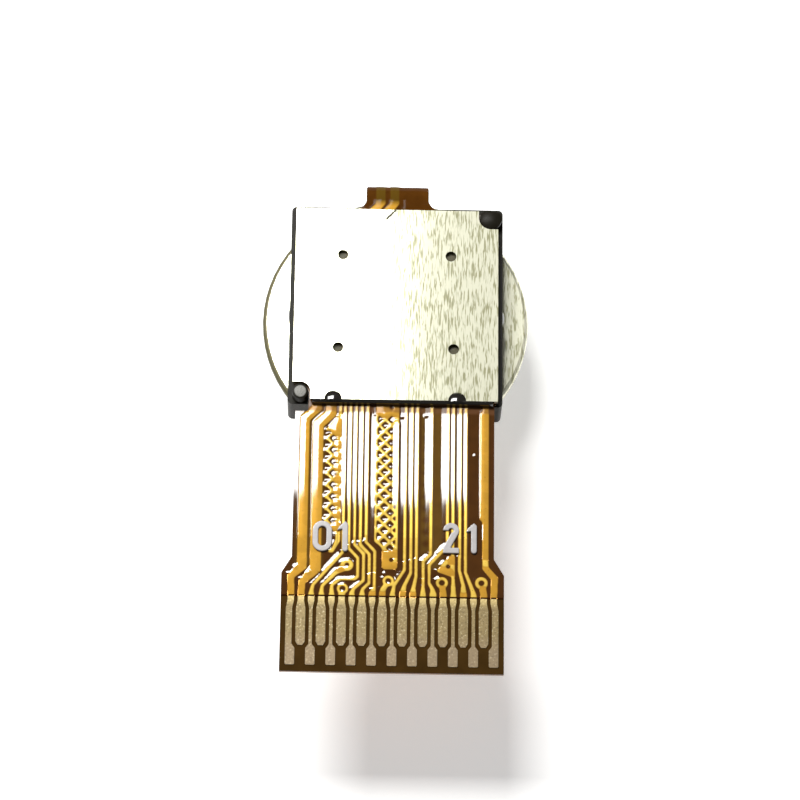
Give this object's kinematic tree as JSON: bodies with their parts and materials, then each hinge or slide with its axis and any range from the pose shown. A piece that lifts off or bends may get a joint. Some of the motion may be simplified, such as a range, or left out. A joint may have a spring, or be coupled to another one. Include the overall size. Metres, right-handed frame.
{
  "type": "camera module",
  "caption": "Small square camera module with a round steel disc, a brushed back plate, a folded ground tail and a flat flexible circuit with staggered contacts.",
  "frame": {"origin": "on the optical axis, at the front face of the round lens tower", "axes": "+Z along the optical axis from the lens to the back plate, +Y from the axis to the folded tail, -Y to the contacts"},
  "size_m": [0.0082, 0.0158, 0.0047],
  "materials": {
    "holder_plastic": "satin, fine moulded grain",
    "disc_steel": "brushed",
    "plate_steel": "brushed",
    "adhesive_film": "matt",
    "black_epoxy": "glossy",
    "polyimide": "glossy",
    "copper": "satin",
    "cover_film": "glossy",
    "contact_plating": "matt, speckled",
    "legend_ink": "satin",
    "silver_epoxy": "matt",
    "silicon": "polished",
    "pixel_filter": "satin",
    "gold_wire": "polished",
    "capacitor_ceramic": "matt",
    "filter_glass": "coated",
    "clear_glue": "satin",
    "barrel_plastic": "matt",
    "lens_glass": "coated",
    "shade_film": "matt"
  },
  "bodies": {
    "root": {"lens_holder": "holder_plastic", "front_disc": "disc_steel", "disc_film": "adhesive_film", "back_plate": "plate_steel", "plate_film": "adhesive_film", "edge_bead": "black_epoxy", "glue_dots": "black_epoxy", "flex_film": "polyimide", "copper_tracks": "copper", "coverlay": "cover_film", "tail_tracks": "copper", "tail_cover": "cover_film", "contact_pads": "contact_plating", "pin_numbers": "legend_ink", "lower_copper": "copper", "lower_cover": "cover_film", "contact_stiffener": "polyimide", "tail_bond": "silver_epoxy", "image_sensor": "silicon", "pixel_array": "pixel_filter", "die_attach": "silver_epoxy", "bond_wires": "gold_wire", "capacitors": "capacitor_ceramic", "ir_filter": "filter_glass", "filter_glue": "clear_glue", "lens_barrel": "barrel_plastic", "lens_1": "lens_glass", "lens_2": "lens_glass", "lens_3": "lens_glass", "lens_4": "lens_glass", "light_baffles": "shade_film", "spacer_ring": "barrel_plastic", "retainer_ring": "barrel_plastic", "thread_lock": "clear_glue"}
  },
  "joints": []
}
